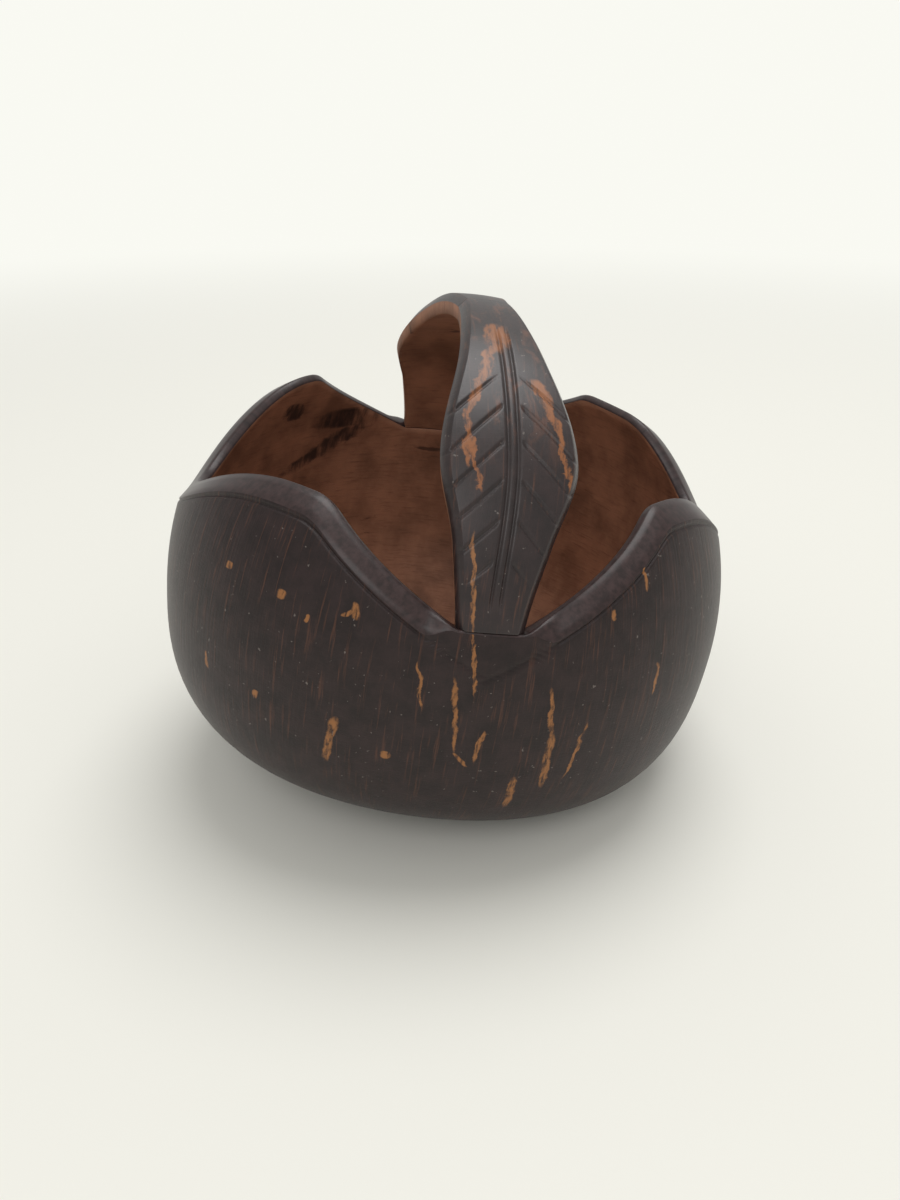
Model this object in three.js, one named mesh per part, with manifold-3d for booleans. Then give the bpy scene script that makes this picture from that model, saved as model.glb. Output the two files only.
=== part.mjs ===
// Carved coconut basket: a bowl with a scalloped rim and a strap handle of two leaves.
// Millimetres, +Z up. The basket stands on z = 0, and its handle runs front to back along Y,
// with the front leaf at -Y.
import * as THREE from 'three';
import { ParametricGeometry } from 'three/addons/geometries/ParametricGeometry.js';
import { mergeVertices } from 'three/addons/utils/BufferGeometryUtils.js';
import Module from 'manifold-3d';

// The nut: a round shell, taller above its widest line than below it
const nutRadius = 57.5;
const crownHeight = 60.3;
const bottomDepth = 38.7;
const crownFullness = 2.06;
const bottomFullness = 2.86;
const lobeDepth = 1.65;
const lobeTurn = 50.8;

// The wall, and the thicker floor under the three eyes of the nut
const wallThickness = 4;
const floorThickness = 7;
const floorEdge = 0.5;

// How the finished basket stands, in degrees, and how much is cut off to give it a flat
const leanRight = 8.1;
const leanFront = 1.1;
const baseCut = 3;

// The rim, as heights above the widest line of the nut, and the slope cut along its outer edge
const notchHeight = 18.2;
const peakHeight = 36;
const dipHeight = 22;
const peakRounding = 1.6;
const dipSharpness = 1.3;
const rimChamfer = 4.4;
const rootChamfer = 0.3;
const chamferRunIn = 6;

// The rim was cut by eye, so no two peaks are alike: how far round from the nearer end of the handle
// each one stands, in degrees, how far it rises over the common height, and how much steeper than a
// straight run its notch side is
const frontRight = { off: 39.5, over: 0.4, steepness: 1.06 };
const frontLeft = { off: 39, over: -2.4, steepness: 1.06 };
const backRight = { off: 68, over: 3.5, steepness: 1.4 };
const backLeft = { off: 45, over: 0.2, steepness: 1.06 };

// The dip of each side: degrees round from the front of the handle, and rise over the common height
const rightDip = { at: 80, over: 3 };
const leftDip = { at: 96, over: -3.5 };

// The handle: two leaves that meet at a narrow waist on top. The places along it are degrees above
// the widest line, and the hollows are how far its edges dip below a straight run between them.
const rootHalfWidth = 6;
const frontRootShift = -2;
const leafHalfWidth = 11.8;
const waistHalfWidth = 5.4;
const widestAt = 48;
const shoulderAt = 70;
const rootHollow = 0.4;
const shoulderHollow = 1;
const leafBevel = 1.6;
const leafWall = 4;
const joint = 0.3;

// Fineness of the surfaces
const azimuthSteps = 96;
const rootColumns = 2;
const wallRows = 12;
const sweepSteps = 26;

const radians = THREE.MathUtils.degToRad;
const degrees = THREE.MathUtils.radToDeg;

const wasm = await Module();
wasm.setup();

// Three soft lobes round the nut, which fade out towards its two ends
function lobe(azimuth, flatness) {
  return 1 + (lobeDepth / nutRadius) * Math.cos(3 * (azimuth - radians(lobeTurn))) * flatness;
}

// Distance from the centre of the nut to its outside, in a unit direction
function nutReach(direction) {
  const level = Math.hypot(direction.x, direction.y);
  const above = direction.z >= 0;
  const power = above ? crownFullness : bottomFullness;
  const height = above ? crownHeight : bottomDepth;
  const sum = (level / nutRadius) ** power + (Math.abs(direction.z) / height) ** power;
  const azimuth = Math.atan2(direction.x, -direction.y);
  return sum ** (-1 / power) * lobe(azimuth, level * level);
}

// A point below the outside of the nut, at a depth, in a unit direction
function nutPoint(direction, depth, target) {
  return target.copy(direction).multiplyScalar(nutReach(direction) - depth);
}

function directionOf(azimuth, elevation) {
  return new THREE.Vector3(
    Math.cos(elevation) * Math.sin(azimuth),
    -Math.cos(elevation) * Math.cos(azimuth),
    Math.sin(elevation),
  );
}

// Elevation of the outside of the nut at a height above its widest line
function elevationAt(height) {
  const radius = nutRadius * (1 - (height / crownHeight) ** crownFullness) ** (1 / crownFullness);
  return Math.atan2(height, radius);
}

function smoothMin(first, second, rounding) {
  const mix = THREE.MathUtils.clamp(0.5 + (second - first) / (2 * rounding), 0, 1);
  return first * mix + second * (1 - mix) - rounding * mix * (1 - mix);
}

const rootAzimuth = degrees((rootHalfWidth + joint) / nutRadius);

// Azimuth at a share of the way round, with a row of points on each edge of the handle's root
function azimuthAt(turn) {
  const quarter = Math.floor(turn * 4);
  const share = turn * 4 - quarter;
  const fromHandle = quarter % 2 === 1 ? 1 - share : share;
  const rootShare = rootColumns / (azimuthSteps / 4);
  const beyond = (fromHandle - rootShare) / (1 - rootShare);
  const off = beyond < 0
    ? rootAzimuth * (fromHandle / rootShare)
    : THREE.MathUtils.lerp(rootAzimuth, 90, beyond);
  return radians((quarter % 2 === 1 ? (quarter + 1) * 90 - off : quarter * 90 + off) - 180);
}

// The handle springs from the front of the bowl a little to one side of its own middle line.
// This turns an azimuth on a bowl with a centred handle to its place on the real one.
function offCentre(azimuth) {
  const frontness = Math.max(Math.cos(azimuth), 0) ** 2;
  return azimuth + (frontRootShift / nutRadius) * frontness;
}

// Degrees between an azimuth and the nearer end of the handle
function offHandle(azimuth) {
  const turn = Math.abs(degrees(azimuth)) % 180;
  return Math.min(turn, 180 - turn);
}

// Height of the rim: a notch each side of the handle, four rounded peaks and a dip at each side
function rimHeight(azimuth) {
  const right = azimuth >= 0;
  const round = Math.abs(degrees(azimuth));
  const dip = right ? rightDip : leftDip;
  const atFront = round < dip.at;
  const frontPeak = right ? frontRight : frontLeft;
  const backPeak = right ? backRight : backLeft;
  const peak = atFront ? frontPeak : backPeak;
  const travelled = atFront ? round : 180 - round;
  const dipOff = atFront ? dip.at : 180 - dip.at;
  const top = peakHeight + peak.over;
  const slope = peak.steepness * (top - notchHeight) / (peak.off - rootAzimuth);
  const rise = notchHeight + slope * Math.max(offHandle(azimuth) - rootAzimuth, 0);
  const share = THREE.MathUtils.clamp((travelled - peak.off) / (dipOff - peak.off), 0, 1);
  const fall = Math.cos((Math.PI / 2) * share ** dipSharpness) ** 2;
  return smoothMin(rise, THREE.MathUtils.lerp(dipHeight + dip.over, top, fall), peakRounding);
}

// The chamfer of the rim, in millimetres, which nearly dies away at the root of the handle
function chamferAt(azimuth) {
  const run = THREE.MathUtils.smoothstep(offHandle(azimuth), rootAzimuth, rootAzimuth + chamferRunIn);
  return THREE.MathUtils.lerp(rootChamfer, rimChamfer, run);
}

// Wall of the bowl, growing smoothly to the floor thickness at the bottom
function wallAt(elevation) {
  const down = Math.max(-Math.sin(elevation), 0);
  const share = THREE.MathUtils.smoothstep(down, floorEdge, 1);
  return THREE.MathUtils.lerp(wallThickness, floorThickness, share);
}

// A closed grid of points becomes a solid: doubled points join, and slivers at the poles go
function solidOf(geometry) {
  geometry.deleteAttribute('normal');
  geometry.deleteAttribute('uv');
  const merged = mergeVertices(geometry, 1e-4);
  const corners = merged.index.array;
  const kept = [];
  for (let start = 0; start < corners.length; start += 3) {
    const [a, b, c] = corners.slice(start, start + 3);
    if (a !== b && b !== c && c !== a) {
      kept.push(a, b, c);
    }
  }
  const triVerts = new Uint32Array(kept);
  const vertProperties = new Float32Array(merged.attributes.position.array);
  return new wasm.Manifold(new wasm.Mesh({ numProp: 3, vertProperties, triVerts }));
}

function geometryOf(solid) {
  const mesh = solid.getMesh();
  const geometry = new THREE.BufferGeometry();
  geometry.setAttribute('position', new THREE.BufferAttribute(mesh.vertProperties, 3));
  geometry.setIndex(new THREE.BufferAttribute(mesh.triVerts, 1));
  geometry.computeVertexNormals();
  return geometry;
}

// The bowl: outside from the bottom up, over the rim, and down the inside
function bowlGeometry() {
  const rows = 2 * wallRows + 1;
  const point = (turn, along, target) => {
    const centred = azimuthAt(turn);
    const azimuth = offCentre(centred);
    const row = Math.round(along * rows);
    const rim = elevationAt(rimHeight(centred));
    const chamfer = chamferAt(centred);
    if (row <= wallRows - 1) {
      const foot = rim - chamfer / nutRadius;
      const elevation = -Math.PI / 2 + (foot + Math.PI / 2) * (row / (wallRows - 1));
      nutPoint(directionOf(azimuth, elevation), 0, target);
    } else if (row === wallRows) {
      nutPoint(directionOf(azimuth, rim), chamfer / 2, target);
    } else {
      const inward = (row - wallRows - 1) / wallRows;
      const elevation = rim + (-Math.PI / 2 - rim) * inward;
      nutPoint(directionOf(azimuth, elevation), wallAt(elevation), target);
    }
  };
  return new ParametricGeometry(point, azimuthSteps, rows);
}

// Half width of the handle along its sweep, in degrees above the widest line, up to 90 on top
function halfWidthAt(sweep, rootSweep) {
  const outline = new THREE.SplineCurve([
    new THREE.Vector2(rootSweep, rootHalfWidth),
    new THREE.Vector2((rootSweep + widestAt) / 2, (rootHalfWidth + leafHalfWidth) / 2 - rootHollow),
    new THREE.Vector2(widestAt, leafHalfWidth),
    new THREE.Vector2(shoulderAt, (leafHalfWidth + waistHalfWidth) / 2 - shoulderHollow),
    new THREE.Vector2(90, waistHalfWidth),
  ]);
  const spans = outline.points;
  const last = spans.length - 1;
  const found = spans.findIndex((mark) => mark.x >= sweep);
  const span = found < 0 ? last : Math.max(found, 1);
  const start = spans[span - 1];
  const share = (sweep - start.x) / (spans[span].x - start.x);
  return outline.getPoint((span - 1 + share) / last).y;
}

// Points round the section of the handle, as shares of the half width and of the depth
const section = [
  { side: -1, inset: 0, depth: leafBevel },
  { side: -1, inset: leafBevel, depth: 0 },
  { side: -0.5, inset: 0, depth: 0 },
  { side: 0, inset: 0, depth: 0 },
  { side: 0.5, inset: 0, depth: 0 },
  { side: 1, inset: leafBevel, depth: 0 },
  { side: 1, inset: 0, depth: leafBevel },
  { side: 1, inset: 0, depth: leafWall },
  { side: 0.5, inset: 0, depth: leafWall },
  { side: 0, inset: 0, depth: leafWall },
  { side: -0.5, inset: 0, depth: leafWall },
  { side: -1, inset: 0, depth: leafWall },
];

// One leaf of the handle: a strap of the nut's own wall from its root up to the waist.
// facing is 1 for the leaf at the front and -1 for the leaf at the back.
function leafGeometry(facing) {
  const rootSweep = degrees(elevationAt(notchHeight) + joint / nutRadius);
  const topSweep = 90 - degrees(joint / 2 / crownHeight);
  const rows = sweepSteps + 2;
  const point = (round, along, target) => {
    const row = Math.round(along * rows);
    const step = THREE.MathUtils.clamp(row - 1, 0, sweepSteps) / sweepSteps;
    const sweep = rootSweep + (topSweep - rootSweep) * step;
    const half = halfWidthAt(sweep, rootSweep);
    const mark = section[Math.round(round * section.length) % section.length];
    const capped = row === 0 || row === rows;
    const across = capped ? 0 : mark.side * half - Math.sign(mark.side) * mark.inset;
    const depth = capped ? leafWall / 2 : mark.depth;
    const swerve = 1 - THREE.MathUtils.smoothstep(sweep, rootSweep, widestAt);
    const shift = facing > 0 ? frontRootShift * swerve : 0;
    const lateral = (across + shift) / nutRadius;
    const angle = radians(sweep);
    const direction = new THREE.Vector3(
      facing * Math.sin(lateral),
      -facing * Math.cos(lateral) * Math.cos(angle),
      Math.cos(lateral) * Math.sin(angle),
    );
    nutPoint(direction, depth, target);
  };
  return new ParametricGeometry(point, section.length, rows);
}

// The lean of the nut, and the level that is cut flat to stand it on
const lean = new THREE.Matrix4()
  .makeRotationY(radians(leanRight))
  .premultiply(new THREE.Matrix4().makeRotationX(radians(leanFront)));

const reach = bowlGeometry().applyMatrix4(lean);
reach.computeBoundingBox();
const middle = reach.boundingBox.getCenter(new THREE.Vector3());
const standLevel = -reach.boundingBox.min.z - baseCut;

// Leans a piece and stands it over the origin
function placed(geometry) {
  return geometry.applyMatrix4(lean).translate(-middle.x, -middle.y, standLevel);
}

const cutter = new THREE.BoxGeometry(4 * nutRadius, 4 * nutRadius, 2 * baseCut);
cutter.translate(0, 0, -baseCut);
const bowlSolid = solidOf(placed(bowlGeometry())).subtract(solidOf(cutter));

const polishedShell = { color: 0x2e2624, roughness: 0.38, metalness: 0 };
const wornLeaf = { color: 0x6a4630, roughness: 0.45, metalness: 0 };

function piece(name, geometry, finish) {
  const mesh = new THREE.Mesh(geometry, new THREE.MeshStandardMaterial(finish));
  mesh.name = name;
  return mesh;
}

const basket = new THREE.Group();
basket.name = 'carved_coconut_basket';
basket.add(piece('bowl_shell', geometryOf(bowlSolid), polishedShell));
basket.add(piece('front_leaf', geometryOf(solidOf(placed(leafGeometry(1)))), wornLeaf));
basket.add(piece('back_leaf', geometryOf(solidOf(placed(leafGeometry(-1)))), wornLeaf));

export default basket;
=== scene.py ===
"""Carved coconut basket: the finished surfaces, the stage and the camera.

Sizes are in millimetres until a mesh is written, which is in metres.
"""
import math

import bmesh
import bpy
import numpy as np
from mathutils import Matrix, Vector


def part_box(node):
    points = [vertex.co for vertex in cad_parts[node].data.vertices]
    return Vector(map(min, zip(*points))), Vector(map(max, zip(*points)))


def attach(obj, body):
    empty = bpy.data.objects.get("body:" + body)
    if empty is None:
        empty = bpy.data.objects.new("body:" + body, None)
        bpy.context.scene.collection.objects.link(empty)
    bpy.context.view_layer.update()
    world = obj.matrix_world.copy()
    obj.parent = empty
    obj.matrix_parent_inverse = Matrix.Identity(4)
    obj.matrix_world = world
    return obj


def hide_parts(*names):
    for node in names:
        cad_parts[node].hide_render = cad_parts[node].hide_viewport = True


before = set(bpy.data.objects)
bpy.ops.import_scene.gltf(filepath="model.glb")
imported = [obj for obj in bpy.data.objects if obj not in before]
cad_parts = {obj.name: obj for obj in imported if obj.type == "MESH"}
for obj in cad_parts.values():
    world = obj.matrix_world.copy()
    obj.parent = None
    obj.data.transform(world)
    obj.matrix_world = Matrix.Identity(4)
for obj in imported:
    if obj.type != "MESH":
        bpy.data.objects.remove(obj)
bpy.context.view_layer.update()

bl_info = {
    "name": "Carved Coconut Basket",
    "version": (1, 0, 0),
    "blender": (4, 5, 0),
    "location": "3D View > Sidebar > Basket",
    "description": "Builds a basket carved from a coconut shell, with its stage and camera",
    "category": "Object",
}

MM = 0.001
BOWL_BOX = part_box("bowl_shell")

# The flat facets of the solids lie a little inside the true curve, and so does the finished surface
SKIN = 0.09

# The nut, as in the solids
NUT_RADIUS = 57.5
CROWN_HEIGHT = 60.3
BOTTOM_DEPTH = 38.7
CROWN_FULLNESS = 2.06
BOTTOM_FULLNESS = 2.86
LOBES = 3
LOBE_DEPTH = 1.65
LOBE_TURN = math.radians(50.8)
WALL = 4.0
FLOOR_WALL = 7.0
FLOOR_EDGE = 0.5
LEAN_RIGHT = math.radians(8.1)
LEAN_FRONT = math.radians(1.1)
BASE_CUT = 3.0

# The rim, as heights above the widest line
NOTCH_HEIGHT = 18.2
PEAK_ROUNDING = 1.6
DIP_SHARPNESS = 1.3
ROOT_CHAMFER = 0.3
CHAMFER_RUN_IN = 6.0

# The four peaks: degrees from the nearer end of the handle, height, and steepness of the notch side
FRONT_RIGHT = (39.5, 36.4, 1.06)
FRONT_LEFT = (39.0, 33.6, 1.06)
BACK_RIGHT = (68.0, 39.5, 1.4)
BACK_LEFT = (45.0, 36.2, 1.06)

# The dips: degrees round from the front of the handle, and height
RIGHT_DIP = (80.0, 25.0)
LEFT_DIP = (96.0, 18.5)

# The handle
ROOT_HALF_WIDTH = 6.0
FRONT_ROOT_SHIFT = -2.0
LEAF_HALF_WIDTH = 11.8
WAIST_HALF_WIDTH = 5.4
WIDEST_AT = 48.0
SHOULDER_AT = 70.0
ROOT_HOLLOW = 0.4
SHOULDER_HOLLOW = 1.0
JOINT = 0.3

# Where the lines of a leaf fade in and out: along it from the root, and across it from the middle
VEINS_BEGIN = (7.0, 11.0)
VEINS_END = (40.0, 46.0)
VEINS_OFF_MIDRIB = (1.2, 2.2)
VEIN_BREADTH = 1.2
MIDRIB_BEGINS = (2.0, 6.0)
MIDRIB_ENDS = (54.0, 60.0)
MIDRIB_HALF_WIDTH = 0.8

# Fineness of the meshes. The band below the rim is fine enough for the incised line.
BOWL_COLUMNS = 360
RIM_BAND = 13.0
RIM_BAND_ROWS = 88
LOWER_ROWS = 46
INSIDE_ROWS = 60
CHAMFER_STEPS = (0.35, 0.7, 1.0)
RIM_STEPS = (0.25, 0.5, 0.75)
RIM_CROWN = 0.15
LEAF_ROWS = 300
LEAF_FACE_COLUMNS = 101
LEAF_BACK_COLUMNS = 17


class BasketSizes(bpy.types.PropertyGroup):
    """Sizes of the carving that a user may change."""

    rim_chamfer: bpy.props.FloatProperty(
        name="Rim chamfer", description="Width of the slope cut along the rim", default=0.0044,
        unit="LENGTH")
    line_drop: bpy.props.FloatProperty(
        name="Line below rim", description="Distance from the rim to the incised line", default=0.0047,
        unit="LENGTH")
    line_depth: bpy.props.FloatProperty(
        name="Line depth", description="Depth of the incised lines", default=0.00035, unit="LENGTH")
    line_width: bpy.props.FloatProperty(
        name="Line width", description="Half width of the incised lines", default=0.0003, unit="LENGTH")
    vein_spacing: bpy.props.FloatProperty(
        name="Vein spacing", description="Distance between veins along a leaf", default=0.0066,
        unit="LENGTH")
    leaf_bevel: bpy.props.FloatProperty(
        name="Leaf bevel", description="Bevel along the edges of the leaves", default=0.0016, unit="LENGTH")


def colour_property(name, description, default):
    return bpy.props.FloatVectorProperty(
        name=name, description=description, default=default, size=3, subtype="COLOR", min=0, max=1)


class BasketColours(bpy.types.PropertyGroup):
    """Colours of the shell, inside and outside, and of the stage."""

    outside: colour_property("Outside", "Polished outside of the shell", (0.0195, 0.0105, 0.0102))
    streak: colour_property("Streaks", "Pale fibres in the outside", (0.30, 0.125, 0.04))
    worn: colour_property("Grain", "Red-brown grain that shows through the polish", (0.20, 0.075, 0.038))
    wear: colour_property("Worn through", "Bright wear along the edges of the leaves", (0.30, 0.105, 0.030))
    speck: colour_property("Specks", "Fine pale nicks in the polish", (0.22, 0.19, 0.17))
    inside: colour_property("Inside", "Scraped inside of the shell", (0.31, 0.147, 0.087))
    floor: colour_property("Stage", "Pale floor", (0.87, 0.86, 0.80))
    backdrop: colour_property("Backdrop", "Pale wall behind the floor", (0.95, 0.95, 0.89))


def smoothstep(value, low, high):
    share = np.clip((value - low) / (high - low), 0, 1)
    return share * share * (3 - 2 * share)


def groove(distance, half_width):
    """1 in the middle of an incised line, falling to 0 at its edges."""
    return np.exp(-(distance / half_width) ** 2)


def directions(azimuth, elevation):
    level = np.cos(elevation)
    return np.stack([level * np.sin(azimuth), -level * np.cos(azimuth), np.sin(elevation)], -1)


def nut_reach(direction):
    """Distance from the centre of the nut to its outside, with soft lobes round it."""
    level = np.hypot(direction[..., 0], direction[..., 1])
    above = direction[..., 2] >= 0
    power = np.where(above, CROWN_FULLNESS, BOTTOM_FULLNESS)
    height = np.where(above, CROWN_HEIGHT, BOTTOM_DEPTH)
    reach = ((level / NUT_RADIUS) ** power + (np.abs(direction[..., 2]) / height) ** power) ** (-1 / power)
    azimuth = np.arctan2(direction[..., 0], -direction[..., 1])
    return reach * (1 + LOBE_DEPTH / NUT_RADIUS * np.cos(LOBES * (azimuth - LOBE_TURN)) * level ** 2)


def elevation_at(height):
    radius = NUT_RADIUS * (1 - (height / CROWN_HEIGHT) ** CROWN_FULLNESS) ** (1 / CROWN_FULLNESS)
    return np.arctan2(height, radius)


ROOT_AZIMUTH = math.degrees((ROOT_HALF_WIDTH + JOINT) / NUT_RADIUS)


def off_handle(azimuth):
    turn = np.abs(np.degrees(azimuth)) % 180
    return np.minimum(turn, 180 - turn)


def line_height(azimuth, drop):
    """Height of the incised line: below the rim all round, with its two ends crossing under the root."""
    return rim_height(azimuth, -2 * ROOT_AZIMUTH) - drop


def rim_height(azimuth, notch_floor=0.0):
    """Height of the rim: a notch each side of the handle, four rounded peaks and a dip at each side."""
    turn = np.abs(np.degrees(azimuth))
    right = azimuth >= 0
    dip_at, dip_height = (np.where(right, one, two) for one, two in zip(RIGHT_DIP, LEFT_DIP))
    at_front = turn < dip_at
    peak_off, height, steepness = (
        np.where(at_front, np.where(right, one, two), np.where(right, three, four))
        for one, two, three, four in zip(FRONT_RIGHT, FRONT_LEFT, BACK_RIGHT, BACK_LEFT))
    dip_off = np.where(at_front, dip_at, 180 - dip_at)
    travelled = np.where(at_front, turn, 180 - turn)
    slope = steepness * (height - NOTCH_HEIGHT) / (peak_off - ROOT_AZIMUTH)
    rise = NOTCH_HEIGHT + slope * np.maximum(off_handle(azimuth) - ROOT_AZIMUTH, notch_floor)
    share = np.clip((travelled - peak_off) / (dip_off - peak_off), 0, 1)
    scallop = dip_height + (height - dip_height) * np.cos(np.pi / 2 * share ** DIP_SHARPNESS) ** 2
    mix = np.clip(0.5 + (scallop - rise) / (2 * PEAK_ROUNDING), 0, 1)
    return rise * mix + scallop * (1 - mix) - PEAK_ROUNDING * mix * (1 - mix)


def off_centre(azimuth):
    """Turns an azimuth on a bowl with a centred handle to its place on the real one."""
    return azimuth + FRONT_ROOT_SHIFT / NUT_RADIUS * np.maximum(np.cos(azimuth), 0) ** 2


def wall_at(elevation):
    down = np.maximum(-np.sin(elevation), 0)
    return WALL + (FLOOR_WALL - WALL) * smoothstep(down, FLOOR_EDGE, 1)


def half_width_at(sweep, root_sweep):
    """Half width of the handle, by a smooth curve through the marks of the leaf's outline."""
    marks = np.array([root_sweep, (root_sweep + WIDEST_AT) / 2, WIDEST_AT, SHOULDER_AT, 90.0])
    widths = np.array([
        ROOT_HALF_WIDTH,
        (ROOT_HALF_WIDTH + LEAF_HALF_WIDTH) / 2 - ROOT_HOLLOW,
        LEAF_HALF_WIDTH,
        (LEAF_HALF_WIDTH + WAIST_HALF_WIDTH) / 2 - SHOULDER_HOLLOW,
        WAIST_HALF_WIDTH,
    ])
    span = np.clip(np.searchsorted(marks, sweep) - 1, 0, 3)
    share = np.clip((sweep - marks[span]) / (marks[span + 1] - marks[span]), 0, 1)
    before = widths[np.maximum(span - 1, 0)]
    first, second = widths[span], widths[span + 1]
    after = widths[np.minimum(span + 2, 4)]
    return (first + 0.5 * share * (second - before
            + share * (2 * before - 5 * first + 4 * second - after
                       + share * (3 * (first - second) + after - before))))


# How the nut leans
LEAN = np.array(Matrix.Rotation(LEAN_FRONT, 3, "X") @ Matrix.Rotation(LEAN_RIGHT, 3, "Y"))


def find_centre():
    """Where the centre of the nut lies, from the box of the solid bowl."""
    azimuth, share = np.meshgrid(np.linspace(-np.pi, np.pi, 361), np.linspace(0, 1, 91))
    rim = elevation_at(rim_height(azimuth))
    grid = directions(off_centre(azimuth), -np.pi / 2 + (rim + np.pi / 2) * share)
    leaned = (grid * nut_reach(grid)[..., None]) @ LEAN.T
    low = leaned.reshape(-1, 3).min(0)
    high = leaned.reshape(-1, 3).max(0)
    solid_low, solid_high = (np.array(corner) / MM for corner in BOWL_BOX)
    centre = (solid_low + solid_high) / 2 - (low + high) / 2
    return np.array([centre[0], centre[1], -low[2] - BASE_CUT])


NUT_CENTRE = find_centre()


def placed(points):
    """Points of the nut, leaned and stood on the table, in metres, with the bottom cut flat."""
    standing = points @ LEAN.T + NUT_CENTRE
    standing[..., 2] = np.maximum(standing[..., 2], 0)
    return standing * MM


def grid_mesh(name, points, place, chart, finishes, finish_of):
    """A mesh from a grid of points (rows, closed columns), with its place on the shell as attributes."""
    rows, column_total = points.shape[:2]
    row_total = rows - 1
    index = np.arange(rows * column_total).reshape(rows, column_total)
    faces = []
    for row in range(row_total):
        for column in range(column_total):
            beside = (column + 1) % column_total
            lower = (index[row, column], index[row, beside])
            upper = (index[row + 1, beside], index[row + 1, column])
            faces.append(tuple(int(corner) for corner in lower + upper))
    mesh = bpy.data.meshes.new(name)
    mesh.from_pydata(points.reshape(-1, 3).tolist(), [], faces)
    for label, values in (("shell_place", place), ("shell_chart", chart)):
        attribute = mesh.attributes.new(label, "FLOAT_VECTOR", "POINT")
        attribute.data.foreach_set("vector", np.ascontiguousarray(values, np.float32).reshape(-1))
    for finish in finishes:
        mesh.materials.append(finish)
    slots = np.array(
        [finish_of(row, column) for row in range(row_total) for column in range(column_total)], np.int32)
    mesh.polygons.foreach_set("material_index", slots)
    mesh.polygons.foreach_set("use_smooth", np.ones(len(faces), bool))
    mesh.validate()
    mesh.update()
    piece = bpy.data.objects.new(name, mesh)
    bpy.context.scene.collection.objects.link(piece)
    return piece


def join_and_orient(piece):
    """Joins doubled points, drops slivers at the poles and turns every face outwards."""
    work = bmesh.new()
    work.from_mesh(piece.data)
    bmesh.ops.remove_doubles(work, verts=work.verts, dist=1e-7)
    bmesh.ops.dissolve_degenerate(work, edges=work.edges, dist=1e-8)
    bmesh.ops.recalc_face_normals(work, faces=work.faces)
    work.to_mesh(piece.data)
    work.free()
    piece.data.update()


class Value:
    """A number socket of a material. Python's operators add the Math nodes."""

    def __init__(self, maker, socket):
        self.maker = maker
        self.socket = socket

    def _math(self, operation, first, second):
        return self.maker.value("ShaderNodeMath", {"operation": operation}, {0: first, 1: second})

    def __add__(self, other):
        return self._math("ADD", self, other)

    __radd__ = __add__

    def __sub__(self, other):
        return self._math("SUBTRACT", self, other)

    def __mul__(self, other):
        return self._math("MULTIPLY", self, other)

    __rmul__ = __mul__

    def over(self, other):
        return self._math("MAXIMUM", self, other)


BUMP_HEIGHT = 0.0004
SHELL_SPECULAR = 0.25


class Finish:
    """A material and the one method that adds any node to it."""

    def __init__(self, name):
        self.material = bpy.data.materials.new(name)
        self.material.use_nodes = True
        self.tree = self.material.node_tree
        self.tree.nodes.clear()
        self.output = self.tree.nodes.new("ShaderNodeOutputMaterial")

    def node(self, kind, settings=None, inputs=None):
        made = self.tree.nodes.new(kind)
        for name, setting in (settings or {}).items():
            setattr(made, name, setting)
        for name, given in (inputs or {}).items():
            socket = made.inputs[name]
            if isinstance(given, Value):
                self.tree.links.new(given.socket, socket)
            elif isinstance(given, bpy.types.NodeSocket):
                self.tree.links.new(given, socket)
            else:
                socket.default_value = given
        return made

    def value(self, kind, settings=None, inputs=None, output=0):
        return Value(self, self.node(kind, settings, inputs).outputs[output])

    def ramp(self, value, low, high):
        return self.value("ShaderNodeMapRange", {"interpolation_type": "SMOOTHSTEP"},
                          {"Value": value, "From Min": low, "From Max": high})

    def mix(self, factor, first, second):
        mixed = self.node("ShaderNodeMix", {"data_type": "RGBA"})
        for name, given in (("Factor", factor), ("A", first), ("B", second)):
            sockets = [socket for socket in mixed.inputs if socket.name == name and socket.enabled]
            if isinstance(given, (Value, bpy.types.NodeSocket)):
                self.tree.links.new(given.socket if isinstance(given, Value) else given, sockets[0])
            else:
                sockets[0].default_value = given
        return [socket for socket in mixed.outputs if socket.enabled][0]

    def chart(self):
        """The point's place for marks, in millimetres: round from the middle of the front, and up."""
        chart = self.node("ShaderNodeAttribute", {"attribute_name": "shell_chart"}).outputs["Vector"]
        parts = self.node("ShaderNodeSeparateXYZ", None, {"Vector": chart})
        return Value(self, parts.outputs["X"]), Value(self, parts.outputs["Y"])

    def place(self):
        """The point's place for noise, in millimetres: two values round the nut and one along it."""
        return self.node("ShaderNodeAttribute", {"attribute_name": "shell_place"}).outputs["Vector"]

    def stretched(self, vector, scale):
        return self.node("ShaderNodeMapping", {"vector_type": "POINT"},
                         {"Vector": vector, "Scale": scale}).outputs["Vector"]

    def noise(self, vector, scale, detail=4.0, roughness=0.55, distortion=0.0):
        return self.value("ShaderNodeTexNoise", None, {
            "Vector": vector, "Scale": scale, "Detail": detail, "Roughness": roughness,
            "Distortion": distortion})

    def finish(self, colour, roughness, height, bump, coat, coat_roughness):
        normal = self.node("ShaderNodeBump", None, {
            "Strength": bump, "Distance": BUMP_HEIGHT, "Height": height})
        shader = self.node("ShaderNodeBsdfPrincipled", None, {
            "Base Color": colour, "Roughness": roughness, "Normal": normal.outputs["Normal"],
            "Coat Weight": coat, "Coat Roughness": coat_roughness,
            "Specular IOR Level": SHELL_SPECULAR})
        self.tree.links.new(shader.outputs["BSDF"], self.output.inputs["Surface"])
        return self.material


def rgba(colour, shade=1.0):
    return (colour[0] * shade, colour[1] * shade, colour[2] * shade, 1.0)


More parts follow.
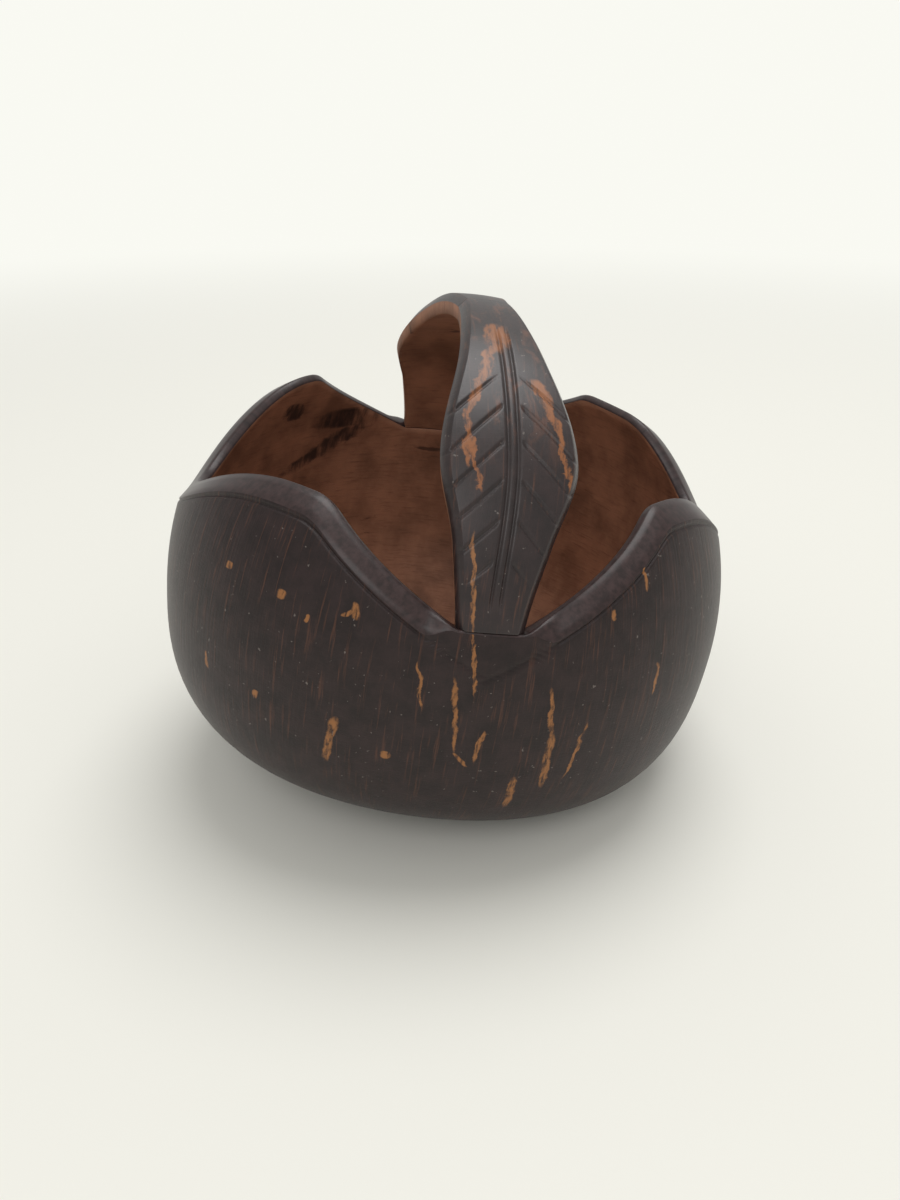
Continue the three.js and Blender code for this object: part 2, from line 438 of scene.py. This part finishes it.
# Marks on the shell: millimetres round from the middle of the front, lowest and highest point, slant
# and half width. First the pale fibres and nicks of the outside.
FIBRES = (
    (-5.8, 18.5, 34.5, -0.07, 0.40),
    (-4.4, 7.0, 19.0, -0.16, 0.40),
    (-6.2, -5.0, 10.0, -0.12, 0.50),
    (-3.9, -8.0, -5.0, -0.90, 0.50),
    (-1.2, -6.8, 0.2, 0.16, 0.50),
    (10.7, -2.0, 9.0, -0.15, 0.45),
    (12.0, -13.0, 0.0, -0.08, 0.80),
    (17.2, -11.0, 1.5, 0.14, 0.35),
    (6.8, -19.0, -10.0, -0.05, 0.80),
    (-13.0, 3.0, 12.0, -0.22, 0.35),
    (-27.6, -12.5, -2.0, 0.15, 0.80),
    (-26.1, 16.8, 19.8, -0.25, 0.80),
    (-27.3, 16.8, 18.4, 0.90, 0.60),
    (-40.2, 16.0, 17.8, 0.0, 0.90),
    (-52.7, 16.6, 18.0, 0.0, 0.80),
    (-42.7, -4.2, -2.4, 0.0, 0.60),
    (-34.3, 13.8, 15.4, 0.30, 0.45),
    (-17.1, -8.6, -6.8, 0.0, 0.90),
    (28.2, 24.2, 28.7, -0.04, 0.45),
    (20.8, 20.2, 22.2, 0.10, 0.45),
    (31.9, 4.5, 11.0, -0.03, 0.40),
    (-55.3, -4.0, -0.6, -0.10, 0.35),
)

# Where a leaf is worn to the red-brown below its polish
WEAR = (
    (-1.2, 68.0, 77.0, 0.10, 2.2),
    (-3.4, 60.0, 71.0, 0.28, 1.2),
    (-6.2, 52.0, 63.0, 0.28, 0.8),
    (-7.4, 45.0, 54.0, 0.02, 0.7),
    (-6.0, 41.0, 49.0, -0.20, 0.5),
    (5.2, 56.0, 62.5, -0.30, 1.3),
    (6.9, 50.0, 59.0, -0.25, 0.9),
    (8.5, 42.0, 52.0, -0.16, 0.5),
)

# The dark stain inside, at the back and to the left
STAINS = (
    (-133.0, 25.0, 31.0, 0.6, 4.5),
    (-155.0, 19.5, 26.0, 0.0, 11.0),
    (-150.0, 7.5, 21.5, -2.0, 5.5),
)


def mark_mask(made, marks, sway, tear):
    """1 on the marks. Sway is how far they wander in millimetres, and tear how finely they break up."""
    across, along = made.chart()
    across = across + sway * (made.noise(made.place(), 0.35, 4.0, 0.6) - 0.5)
    mask = None
    for middle, low, high, slant, width in marks:
        centre = (low + high) / 2
        half = (high - low) / 2
        sideways = (across - middle - slant * (along - centre)) * (1 / width)
        endways = (along - centre) * (1 / half)
        reach = sideways * sideways + endways * endways * endways * endways
        one = made.value("ShaderNodeMapRange", {"interpolation_type": "SMOOTHSTEP"}, {
            "Value": reach, "From Min": 1.3, "From Max": 0.3})
        mask = one if mask is None else mask.over(one)
    torn = made.noise(made.stretched(made.place(), (1.0, 1.0, 0.3)), tear, 4.0, 0.65)
    return mask * made.ramp(torn, 0.30, 0.56)


def outside_finish(colours, name, is_leaf=False):
    """Polished shell: near black, with pale fibres along the nut. The leaves are worn red-brown."""
    made = Finish(name)
    place = made.place()
    fibres = made.noise(made.stretched(place, (1.0, 1.0, 0.07)), 0.45, 4.0, 0.6, 0.3)
    breaks = made.noise(place, 0.07, 3.0, 0.5)
    mottling = made.noise(place, 0.25, 5.0, 0.65)
    grain = made.noise(made.stretched(place, (1.0, 1.0, 0.06)), 1.6, 4.0, 0.6)
    specks = made.noise(place, 1.1, 2.0, 0.5)
    pale = made.ramp(fibres, 0.66, 0.75) * made.ramp(breaks, 0.50, 0.62) * 0.45
    pale = pale.over(mark_mask(made, FIBRES, 2.2, 1.5))
    dark = made.mix(made.ramp(mottling, 0.3, 0.7), rgba(colours.outside, 0.7), rgba(colours.outside, 1.4))
    dark = made.mix(made.ramp(grain, 0.54, 0.74) * 0.30, dark, rgba(colours.worn))
    dark = made.mix(made.ramp(specks, 0.71, 0.75) * 0.55, dark, rgba(colours.speck))
    colour = made.mix(pale, dark, rgba(colours.streak))
    if is_leaf:
        patches = made.noise(made.stretched(place, (1.0, 1.0, 0.4)), 0.30, 5.0, 0.65, 0.5)
        faint = made.ramp(patches, 0.54, 0.66) * made.ramp(made.chart()[1], 40.0, 62.0) * 0.45
        colour = made.mix(faint, colour, rgba(colours.worn))
        colour = made.mix(mark_mask(made, WEAR, 4.5, 1.1) * 0.9, colour, rgba(colours.wear))
    scratches = made.noise(made.stretched(place, (0.5, 0.5, 2.4)), 1.5, 6.0, 0.7)
    roughness = 0.34 + 0.2 * scratches
    height = 0.6 * grain + 0.5 * scratches + 0.3 * mottling
    return made.finish(colour, roughness, height, 0.35, 0.6 if is_leaf else 0.15, 0.33)


def inside_finish(colours):
    """Scraped inside: red-brown with level scrape marks and darker blotches."""
    made = Finish("scraped_inside")
    place = made.place()
    scrapes = made.noise(made.stretched(place, (0.10, 0.10, 1.0)), 1.6, 5.0, 0.65, 0.4)
    clouds = made.noise(place, 0.07, 4.0, 0.6)
    blotches = made.noise(made.stretched(place, (1.0, 1.0, 2.0)), 0.06, 5.0, 0.65, 0.6)
    toned = made.mix(made.ramp(clouds, 0.3, 0.7), rgba(colours.inside, 0.62), rgba(colours.inside, 1.25))
    marked = made.mix(made.ramp(scrapes, 0.50, 0.72) * 0.45, toned, rgba(colours.inside, 0.35))
    stained = (made.ramp(blotches, 0.66, 0.72) * 0.7).over(mark_mask(made, STAINS, 9.0, 0.25) * 0.9)
    colour = made.mix(stained, marked, rgba(colours.outside))
    return made.finish(colour, 0.55 + 0.2 * scrapes, scrapes, 0.25, 0.05, 0.4)


def rim_finish(colours):
    """The cut edge of the shell: dark and polished, lighter than the outside as a painted sheen along the
    chamfer.
    """
    made = Finish("cut_rim")
    place = made.place()
    grain = made.noise(place, 0.8, 5.0, 0.6)
    # Painted sheen: the rim runs from the outside colour up to 2.4 times as light, broken up by grain noise
    colour = made.mix(made.ramp(grain, 0.3, 0.7), rgba(colours.outside), rgba(colours.outside, 2.4))
    return made.finish(colour, 0.34 + 0.12 * grain, grain, 0.10, 0.35, 0.3)


def shell_place(azimuth, along):
    """Coordinates for noise that run on without a seam round the nut."""
    return np.stack([NUT_RADIUS * np.sin(azimuth), -NUT_RADIUS * np.cos(azimuth), along + 0 * azimuth], -1)


class BASKET_OT_bowl(bpy.types.Operator):
    """Builds the bowl with its scalloped rim, its chamfer and the incised line below it"""

    bl_idname = "basket.bowl"
    bl_label = "Build bowl"

    def execute(self, context):
        sizes = context.scene.basket_sizes
        colours = context.scene.basket_colours
        chamfer = sizes.rim_chamfer / MM
        azimuth = np.linspace(-np.pi, np.pi, BOWL_COLUMNS, endpoint=False)
        real_azimuth = off_centre(azimuth)
        rim = elevation_at(rim_height(azimuth))
        run_in = smoothstep(off_handle(azimuth), ROOT_AZIMUTH, ROOT_AZIMUTH + CHAMFER_RUN_IN)
        slope = ROOT_CHAMFER + (chamfer - ROOT_CHAMFER) * run_in
        grids, places, charts = [], [], []

        def add_row(elevation, depth):
            grid = directions(real_azimuth, elevation)
            grids.append(grid * (nut_reach(grid) - SKIN - depth)[:, None])
            places.append(shell_place(real_azimuth, elevation * NUT_RADIUS))
            charts.append(np.stack([real_azimuth, elevation, 0 * azimuth], -1) * NUT_RADIUS)

        foot = rim - slope / NUT_RADIUS
        line = elevation_at(line_height(azimuth, sizes.line_drop / MM))
        line_depth = sizes.line_depth / MM
        line_width = sizes.line_width / MM
        band_edge = foot - RIM_BAND / NUT_RADIUS
        for share in np.linspace(1, 0, LOWER_ROWS)[:-1]:
            add_row(band_edge + (-np.pi / 2 - band_edge) * share, 0)
        for drop in np.linspace(RIM_BAND, 0, RIM_BAND_ROWS):
            elevation = foot - drop / NUT_RADIUS
            add_row(elevation, line_depth * groove((elevation - line) * NUT_RADIUS, line_width))
        outside_rows = len(grids)
        for share in CHAMFER_STEPS:
            add_row(foot + (rim - foot) * share, slope / 2 * share)
        for share in RIM_STEPS:
            add_row(rim + RIM_CROWN / NUT_RADIUS, slope / 2 + (WALL - slope / 2) * share)
        rim_rows = len(grids)
        for share in np.linspace(0, 1, INSIDE_ROWS):
            elevation = rim + (-np.pi / 2 - rim) * share
            add_row(elevation, wall_at(elevation))
        points = placed(np.array(grids))
        finishes = [outside_finish(colours, "polished_outside"), rim_finish(colours),
                    inside_finish(colours)]

        def finish_of(row, column):
            return 0 if row < outside_rows - 1 else 1 if row < rim_rows else 2

        piece = grid_mesh("coconut_bowl", points, np.array(places), np.array(charts), finishes, finish_of)
        join_and_orient(piece)
        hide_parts("bowl_shell")
        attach(piece, "root")
        return {"FINISHED"}


def leaf_section(half, bevel):
    """Once round the section of the strap: the place across it, and the depth below the nut."""
    face = [(share * (half - bevel), 0) for share in np.linspace(-1, 1, LEAF_FACE_COLUMNS)]
    edge = [(half - bevel / 2, bevel / 2), (half, bevel), (half, WALL)]
    back = [(share * half, WALL) for share in np.linspace(1, -1, LEAF_BACK_COLUMNS)[1:]]
    far_edge = [(-half, bevel), (bevel / 2 - half, bevel / 2)]
    marks = face + edge + back + far_edge
    lateral = np.stack([across for across, _ in marks], 1)
    depth = np.stack([np.full_like(half, down) for _, down in marks], 1)
    return lateral, depth


def leaf_lines(distance, lateral, sizes):
    """The veins and the two lines of the midrib: 1 in the middle of a line, 0 beside it."""
    off_middle = np.abs(lateral)
    width = sizes.line_width / MM
    spacing = sizes.vein_spacing / MM
    to_vein = (distance + off_middle + spacing / 2) % spacing - spacing / 2
    veins = groove(to_vein, VEIN_BREADTH * width) * smoothstep(off_middle, *VEINS_OFF_MIDRIB)
    veins = veins * smoothstep(distance, *VEINS_BEGIN) * (1 - smoothstep(distance, *VEINS_END))
    midrib = groove(off_middle - MIDRIB_HALF_WIDTH, width)
    midrib = midrib * smoothstep(distance, *MIDRIB_BEGINS) * (1 - smoothstep(distance, *MIDRIB_ENDS))
    return np.maximum(veins, midrib)


def build_leaf(name, node, facing, sizes, colours):
    """One leaf of the handle, with its midrib, its veins and its bevelled edges."""
    root_sweep = math.degrees(elevation_at(NOTCH_HEIGHT) + JOINT / 2 / NUT_RADIUS)
    sweep = np.linspace(root_sweep, 90, LEAF_ROWS)
    lateral, depth = leaf_section(half_width_at(sweep, root_sweep), sizes.leaf_bevel / MM)
    distance = np.radians(sweep - root_sweep)[:, None] * NUT_RADIUS
    lines = leaf_lines(distance, lateral, sizes)
    lines[:, LEAF_FACE_COLUMNS:] = 0
    depth = depth + sizes.line_depth / MM * lines
    angle = np.radians(sweep)[:, None]
    swerve = 1 - smoothstep(sweep, root_sweep, WIDEST_AT)
    shift = FRONT_ROOT_SHIFT * swerve[:, None] if facing > 0 else 0.0
    turn = (lateral + shift) / NUT_RADIUS
    direction = np.stack([
        facing * np.sin(turn),
        -facing * np.cos(turn) * np.cos(angle),
        np.cos(turn) * np.sin(angle),
    ], -1)
    points = direction * (nut_reach(direction) - SKIN - depth)[..., None]
    ends = [np.broadcast_to(points[row].mean(0), points[:1].shape) for row in (0, -1)]
    points = np.concatenate([ends[0], points, ends[1]])
    place = np.stack([lateral + NUT_RADIUS * facing * 0.5, depth - NUT_RADIUS * facing,
                      distance + NUT_RADIUS * 0.33 + 0 * lateral], -1)
    place = np.concatenate([place[:1], place, place[-1:]])
    chart = np.stack([facing * lateral + shift, distance + NOTCH_HEIGHT + 0 * lateral, 0 * lateral], -1)
    chart = np.concatenate([chart[:1], chart, chart[-1:]])
    finishes = [outside_finish(colours, f"{name}_outside", True), inside_finish(colours)]
    back = range(LEAF_FACE_COLUMNS + 1, lateral.shape[1] - 2)

    def finish_of(row, column):
        return 1 if column in back else 0

    piece = grid_mesh(name, placed(points), place, chart, finishes, finish_of)
    join_and_orient(piece)
    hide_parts(node)
    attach(piece, "root")


class BASKET_OT_handle(bpy.types.Operator):
    """Builds the two leaves of the handle"""

    bl_idname = "basket.handle"
    bl_label = "Build handle"

    def execute(self, context):
        sizes = context.scene.basket_sizes
        colours = context.scene.basket_colours
        build_leaf("carved_front_leaf", "front_leaf", 1, sizes, colours)
        build_leaf("carved_back_leaf", "back_leaf", -1, sizes, colours)
        return {"FINISHED"}


# The camera, as fitted to the outline of the nut
VIEW_ELEVATION = math.radians(28)
VIEW_AZIMUTH = math.radians(-8)
VIEW_DISTANCE = 201.0
FOCAL_PIXELS = 905.0
IMAGE_WIDTH = 900.0
IMAGE_HEIGHT = 1200.0
CENTRE_PIXEL = (444.0, 579.0)
SENSOR = 36.0


def add_camera(scene):
    right = Vector((math.cos(VIEW_AZIMUTH), math.sin(VIEW_AZIMUTH), 0))
    level = Vector((-math.sin(VIEW_AZIMUTH), math.cos(VIEW_AZIMUTH), 0))
    forward = level * math.cos(VIEW_ELEVATION) - Vector((0, 0, 1)) * math.sin(VIEW_ELEVATION)
    up = right.cross(forward)
    aside = (CENTRE_PIXEL[0] - IMAGE_WIDTH / 2) / FOCAL_PIXELS * VIEW_DISTANCE
    rise = -(CENTRE_PIXEL[1] - IMAGE_HEIGHT / 2) / FOCAL_PIXELS * VIEW_DISTANCE
    place = Vector(NUT_CENTRE) - right * aside - up * rise - forward * VIEW_DISTANCE
    data = bpy.data.cameras.new("view")
    data.sensor_width = SENSOR
    data.lens = SENSOR * FOCAL_PIXELS / IMAGE_HEIGHT
    data.clip_start = 0.01
    camera = bpy.data.objects.new("view", data)
    turn = Matrix((right, up, -forward)).transposed().to_4x4()
    camera.matrix_world = Matrix.Translation(place * MM) @ turn
    scene.collection.objects.link(camera)
    scene.camera = camera


# The soft lights: width across, power in watts and place, in metres
LIGHTS = {
    "overhead_soft": (0.8, 6.5, (0.20, 0.22, 1.15)),
    "front_soft": (0.6, 2.4, (-0.25, -0.85, 0.9)),
}
LIT_POINT = (0, 0, 0.04)
ROOM_COLOUR = (1.0, 1.0, 0.97, 1.0)
ROOM_STRENGTH = 0.55

# The floor, in metres: left, right, near and far edge, and where it blends into the backdrop
FLOOR_EDGES = (-4.0, 4.0, -3.0, 2.4)
FLOOR_BLEND = (0.2, 0.95)


def add_light(scene, name, size, power, place):
    data = bpy.data.lights.new(name, "AREA")
    data.shape = "DISK"
    data.size = size
    data.energy = power
    lamp = bpy.data.objects.new(name, data)
    lamp.location = place
    lamp.rotation_euler = (Vector(LIT_POINT) - Vector(place)).to_track_quat("-Z", "Y").to_euler()
    scene.collection.objects.link(lamp)


def add_floor(scene, colours):
    """A pale floor that turns into the colour of the backdrop away from the basket."""
    left, right, near, far = FLOOR_EDGES
    corners = [(left, near, 0), (right, near, 0), (right, far, 0), (left, far, 0)]
    mesh = bpy.data.meshes.new("stage_floor")
    mesh.from_pydata(corners, [], [(0, 1, 2, 3)])
    floor = bpy.data.objects.new("stage_floor", mesh)
    scene.collection.objects.link(floor)
    made = Finish("stage_pale")
    shader = made.node("ShaderNodeBsdfPrincipled", None, {
        "Base Color": rgba(colours.floor), "Roughness": 0.6, "Specular IOR Level": 0.2})
    far_off = made.node("ShaderNodeEmission", None, {"Color": rgba(colours.backdrop), "Strength": 1.0})
    place = made.node("ShaderNodeTexCoord").outputs["Object"]
    distance = made.value("ShaderNodeVectorMath", {"operation": "LENGTH"}, {0: place}, "Value")
    blend = made.node("ShaderNodeMixShader", None, {
        0: made.ramp(distance, *FLOOR_BLEND), 1: shader.outputs["BSDF"], 2: far_off.outputs["Emission"]})
    made.tree.links.new(blend.outputs["Shader"], made.output.inputs["Surface"])
    mesh.materials.append(made.material)


def add_world(scene, colours):
    """Even light from the room all round. The camera sees the backdrop in its place."""
    world = bpy.data.worlds.new("studio")
    world.use_nodes = True
    nodes = world.node_tree.nodes
    links = world.node_tree.links
    room = nodes["Background"]
    room.inputs["Color"].default_value = ROOM_COLOUR
    room.inputs["Strength"].default_value = ROOM_STRENGTH
    wall = nodes.new("ShaderNodeBackground")
    wall.inputs["Color"].default_value = rgba(colours.backdrop)
    wall.inputs["Strength"].default_value = 1.0
    seen = nodes.new("ShaderNodeMixShader")
    links.new(nodes.new("ShaderNodeLightPath").outputs["Is Camera Ray"], seen.inputs["Fac"])
    links.new(room.outputs["Background"], seen.inputs[1])
    links.new(wall.outputs["Background"], seen.inputs[2])
    links.new(seen.outputs["Shader"], nodes["World Output"].inputs["Surface"])
    scene.world = world


class BASKET_OT_stage(bpy.types.Operator):
    """Adds the pale floor and backdrop, the soft lights and the camera"""

    bl_idname = "basket.stage"
    bl_label = "Build stage"

    def execute(self, context):
        scene = context.scene
        add_floor(scene, scene.basket_colours)
        add_world(scene, scene.basket_colours)
        for name, (size, power, place) in LIGHTS.items():
            add_light(scene, name, size, power, place)
        scene.view_settings.view_transform = "Standard"
        add_camera(scene)
        return {"FINISHED"}


class BASKET_PT_panel(bpy.types.Panel):
    """Lists the steps that build the basket"""

    bl_idname = "BASKET_PT_panel"
    bl_label = "Coconut basket"
    bl_space_type = "VIEW_3D"
    bl_region_type = "UI"
    bl_category = "Basket"

    def draw(self, context):
        scene = context.scene
        for group in (scene.basket_sizes, scene.basket_colours):
            for name in group.bl_rna.properties.keys():
                if name not in {"rna_type", "name"}:
                    self.layout.prop(group, name)
        for operator in OPERATORS:
            self.layout.operator(operator.bl_idname)


OPERATORS = (BASKET_OT_bowl, BASKET_OT_handle, BASKET_OT_stage)
CLASSES = (BasketSizes, BasketColours) + OPERATORS + (BASKET_PT_panel,)


def register():
    for made in CLASSES:
        bpy.utils.register_class(made)
    bpy.types.Scene.basket_sizes = bpy.props.PointerProperty(type=BasketSizes)
    bpy.types.Scene.basket_colours = bpy.props.PointerProperty(type=BasketColours)


def unregister():
    del bpy.types.Scene.basket_colours
    del bpy.types.Scene.basket_sizes
    for made in reversed(CLASSES):
        bpy.utils.unregister_class(made)


def main():
    register()
    bpy.ops.basket.bowl()
    bpy.ops.basket.handle()
    bpy.ops.basket.stage()


if __name__ == "__main__":
    main()
